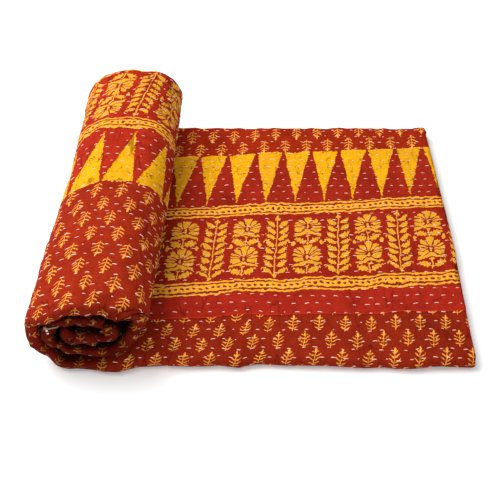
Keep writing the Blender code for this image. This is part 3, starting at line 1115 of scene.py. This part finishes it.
def printed_cotton():
    """The cloth: dyed red, block-printed in yellow, then creased and worn; painted shade darkens its
    wrinkles and the roll's mouth, and painted light brightens the roll.
    """
    material, shader = new_material("block_printed_cotton", {"Specular IOR Level": 0.04})
    tree = material.node_tree
    length, printed = uv_place(tree, "Cloth")
    u, down = uv_place(tree, "Border")
    across, field_down = uv_place(tree, "Field")
    shake, other_shake = noise_at(length, printed, 230.0)
    drift, other_drift = noise_at(length, printed, 34.0)
    kink, other_kink = noise_at(length, printed, 95.0)
    u = u + (shake - 0.5) * 2.6 + (drift - 0.5) * 3.0 + (kink - 0.5) * 2.4
    v = down - (down > BETWEEN_BORDERS) * SECOND + (other_shake - 0.5) * 3.2
    v = v + (other_drift - 0.5) * 7.0 + (other_kink - 0.5) * 4.4
    field = most(BORDER_TOP - down, least(down - SEAM, SECOND + BORDER_TOP - down))
    across, field_down = across + (shake - 0.5) * 2.6, field_down + (other_shake - 0.5) * 2.6
    depth = most(border_depth(u, v), least(sprigs_depth(across, field_down), field))
    petals = within(v, *FLOWER_BAND)

    cloudy, grain = noise_at(length, printed, 420.0, 3.0, 0.7)
    patchy, streaky = noise_at(length, printed, 17.0, 3.0, 0.6)
    mottled = noise_at(length, printed, 110.0, 2.0, 0.6)[0]
    shade = (mottled - 0.5) * 0.50 + (cloudy - 0.5) * 0.7 + 1.0
    red = red_cloth(printed, down, depth, petals, patchy, shade)
    yellow = yellow_print(v, depth, petals, field, streaky, grain)
    yellow = scaled(yellow, (mottled - 0.5) * 0.34 + (cloudy - 0.5) * 0.44 + 1.0)
    crackle, patches = noise_at(length, printed, 78.0, 3.0, 0.55)
    scratch = cover(0.012 - abs(crackle - 0.5), 0.010) * clamped(patches, 0.46, 8.0)
    yellow = blend(scratch * (1.0 - petals) * 0.95, yellow, SCRATCH)

    # Painted shade: thin dark lines along wrinkles, stronger in the plain band and the field below it
    painted_wrinkle_shade, wrinkled = noise_at(length * 42.0, printed * 8.0, 1.0, 2.0)
    painted_wrinkle_shade = cover(0.010 - abs(painted_wrinkle_shade - 0.5), 0.012) * rise(wrinkled, 0.44, 0.54)
    painted_wrinkle_shade = painted_wrinkle_shade * (rise(down, 268.0, 282.0) * 0.42 + 0.16)
    tuck, rim, knot = tucked_edge(length, printed)
    # kept: the share of its brightness the cloth keeps under the painted shade at the roll's mouth and
    # in its crevices
    kept = painted_shade_kept(length, printed)
    painted = layered(
        blend(cover(depth), red, yellow),
        (painted_wrinkle_shade, OUTLINE_AND_SHADE),
        (clamped(grain, 0.58, 1.5), WORN_RED),
        (tuck, SLIVER_GREEN),
        # Painted shade: where the cloth is shaded it is also blended towards a deep red
        ((1.0 - kept) * 0.55, PAINTED_SHADE_RED),
    )
    painted = layered(scaled(painted, kept), (rim, RIM_PALE), (knot, KNOT_WHITE))
    threads_along = noise_at(length * 420.0, printed * 2600.0, 1.0, 1.0)[0]
    threads_across = noise_at(length * 2600.0, printed * 420.0, 1.0, 1.0)[0]
    height = most(threads_along, threads_across) + cloudy * 1.5
    give(shader, {"Base Color": painted, "Roughness": grain * 0.16 + 0.8})
    give(shader, {"Normal": bump(height, 0.00035)})
    return material


# ---- The running stitches ----
STITCH_HALF, STITCH_WIDE, STITCH_HIGH = 0.0026, 0.00052, 0.00046  # half sizes of a usual stitch
SEWN_FROM, NEAR_FOLDS = 0.004, 0.040
SEWN_TO = 0.800  # on the outermost wrap, whose inner stretches can't be seen
STITCH_LIFT, PRESSED_LIFT, TIP_DEPTH = 0.00055, 0.0002, 0.0006
STITCH_SIDES = 4
STITCH_RINGS = (  # share of the half length, of the thickness and of the height
    (-0.8, 0.62, 0.10), (-0.45, 0.95, 0.72), (0.0, 1.0, 1.0), (0.45, 0.95, 0.72), (0.8, 0.62, 0.10),
)
RING_COUNT = len(STITCH_RINGS)
TIPS = (-1, RING_COUNT)  # the numbers that stand for a stitch's two tips among its rings


def stitch_rows():
    """Where stitches show: each row's number and the length up to which it is sewn."""
    for row in range(int((Q3_START - FIRST_ROW) / ROW_PITCH) + 1):
        printed = FIRST_ROW + row * ROW_PITCH
        end = FLAT_RUN if printed < FRONT_MIDDLE else SEWN_TO
        if abs(printed - FRONT_MIDDLE) < NEAR_FOLDS or printed > Q2_END - NEAR_FOLDS / 2:
            end = QUILT_LENGTH - SEWN_FROM
        yield row, end


def stitch_places():
    """Middle length, middle distance, half length, slant and thickness of each stitch."""
    chance = np.random.default_rng(7)
    found = []
    for row, end in stitch_rows():
        first = math.ceil(SEWN_FROM / STITCH_PITCH - row_phase(row))
        count = int((end - SEWN_FROM) / STITCH_PITCH)
        middle = (first + np.arange(count) + row_phase(row)) * STITCH_PITCH
        middle = middle + chance.uniform(-0.0016, 0.0016, count)
        across = FIRST_ROW + row * ROW_PITCH + row_wander(row, middle)
        across = across + chance.uniform(-0.0006, 0.0006, count)
        half = STITCH_HALF * chance.uniform(0.72, 1.30, count)
        half = np.where(chance.random(count) < 0.14, 0.0011, half)
        slant = chance.normal(0.0, 0.09, count) + 0.10 * np.sin(row * 2.3 + middle * 40.0)
        thick = chance.uniform(0.85, 1.15, count)
        kept = (chance.random(count) > 0.05) & (middle - half > 0.001) & (middle < end)
        found.append(np.column_stack([middle, across, half, slant, thick])[kept])
    return np.concatenate(found)


def make_stitches():
    """Every stitch as a small closed thread that rises from the cloth and dives back into it."""
    middle, across, half, slant, thick = stitch_places().T[:, :, None, None]
    along, wide, high = np.array(STITCH_RINGS).T[:, None, :, None]
    turn = np.arange(STITCH_SIDES)[None, None, :] / STITCH_SIDES * 2 * math.pi
    side, up = np.cos(turn), np.sin(turn)
    s = middle + half * along * np.cos(slant) - side * wide * thick * STITCH_WIDE * np.sin(slant)
    p = across + half * along * np.sin(slant) + side * wide * thick * STITCH_WIDE * np.cos(slant)
    lift = (high * STITCH_LIFT) * thick + up * wide * thick * STITCH_HIGH
    on_table = (p > FRONT_MIDDLE) & (p < Q2_END + 0.004) & (s < FLAT_RUN + 0.055)
    rings = place(s, p, np.where(on_table, np.minimum(lift, PRESSED_LIFT), lift))
    ends = np.array([-1.0, 1.0])[None, :, None]
    end_s = middle + half * ends * np.cos(slant)
    end_p = across + half * ends * np.sin(slant)
    tips = place(end_s, end_p, np.full_like(end_s, -TIP_DEPTH))[:, :, 0]
    count = len(rings)
    points = np.concatenate([rings.reshape(count, -1, 3), tips], axis=1)
    points[..., 2] = np.maximum(points[..., 2], 0.0)  # pressed flat where they lie on the table
    pattern = stitch_pattern()
    first = RING_COUNT * STITCH_SIDES
    one = [[first + (r > 0) if r in TIPS else r * STITCH_SIDES + k % STITCH_SIDES for r, k in face]
           for face in pattern]
    faces = [[v + (first + 2) * n for v in face] for n in range(count) for face in one]
    mesh = bpy.data.meshes.new("running_stitches")
    mesh.from_pydata(points.reshape(-1, 3).tolist(), [], faces)
    set_stitch_maps(mesh, pattern, middle[:, 0, 0], across[:, 0, 0])
    mesh.shade_smooth()
    mesh.materials.append(kantha_thread())
    return add("running_stitches", mesh)


def stitch_pattern():
    """The corners of one stitch's faces, as (ring, side)."""
    sides, (near, far), last = range(STITCH_SIDES), TIPS, RING_COUNT - 1
    faces = [[(r, k), (r, k + 1), (r + 1, k + 1), (r + 1, k)] for r in range(last) for k in sides]
    for k in sides:
        faces += [[(near, k), (0, k + 1), (0, k)], [(far, k), (last, k), (last, k + 1)]]
    return faces


def set_stitch_maps(mesh, pattern, cloth_length, cloth_printed):
    """Maps along and round each stitch, on the cloth, and a small square of the baked map for each."""
    ring, side = np.array([corner for face in pattern for corner in face]).T
    shares = np.array([*[share for share, _, _ in STITCH_RINGS], 1.0, -1.0])  # its tips come last
    count = len(cloth_length)
    along = np.tile((shares[ring] + 1.0) / 2, count)
    around = np.tile(np.where(np.isin(ring, TIPS), 0.5, side / STITCH_SIDES), count)
    number = np.repeat(np.arange(count), len(ring))
    squares = math.ceil(math.sqrt(count))
    set_map(mesh, "Thread", along + number * 0.37, around)
    set_map(mesh, "Cloth", cloth_length[number], cloth_printed[number])
    across, up = number % squares + 0.1 + 0.8 * along, number // squares + 0.1 + 0.8 * around
    set_map(mesh, "OFBake", across / squares, up / squares)


def kantha_thread():
    """The stitches' pale twisted thread, with a little of the red dye in places, and the cloth's
    painted shade at the roll's mouth.
    """
    material, shader = new_material("kantha_thread", {"Roughness": 0.75})
    along, around = uv_place(material.node_tree, "Thread")
    length, printed = uv_place(material.node_tree, "Cloth")
    twist = ((along * 5.0 + around) * (2 * math.pi)).maths("SINE") * 0.5 + 0.5
    fuzz, tint = noise_at(along * 9.0, around * 3.0)[0], noise_at(length, printed, 60.0)[0]
    base = layered(
        THREAD_CREAM,
        (twist * 0.5 + fuzz * 0.4, THREAD_PALE),
        (clamped(tint, 0.35, 2.0) * 0.5, THREAD_PINK),
    )
    # The cloth's painted shade at the roll's mouth, squared, darkens the threads there
    kept = painted_shade_kept(length, printed)
    give(shader, {"Base Color": scaled(base, kept * kept), "Normal": bump(twist, 0.0002)})
    return material


quilt = make_cloth()
quilt.data.materials.append(printed_cotton())
stitches = make_stitches()

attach(quilt, "root")
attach(stitches, "root")
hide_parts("quilt")
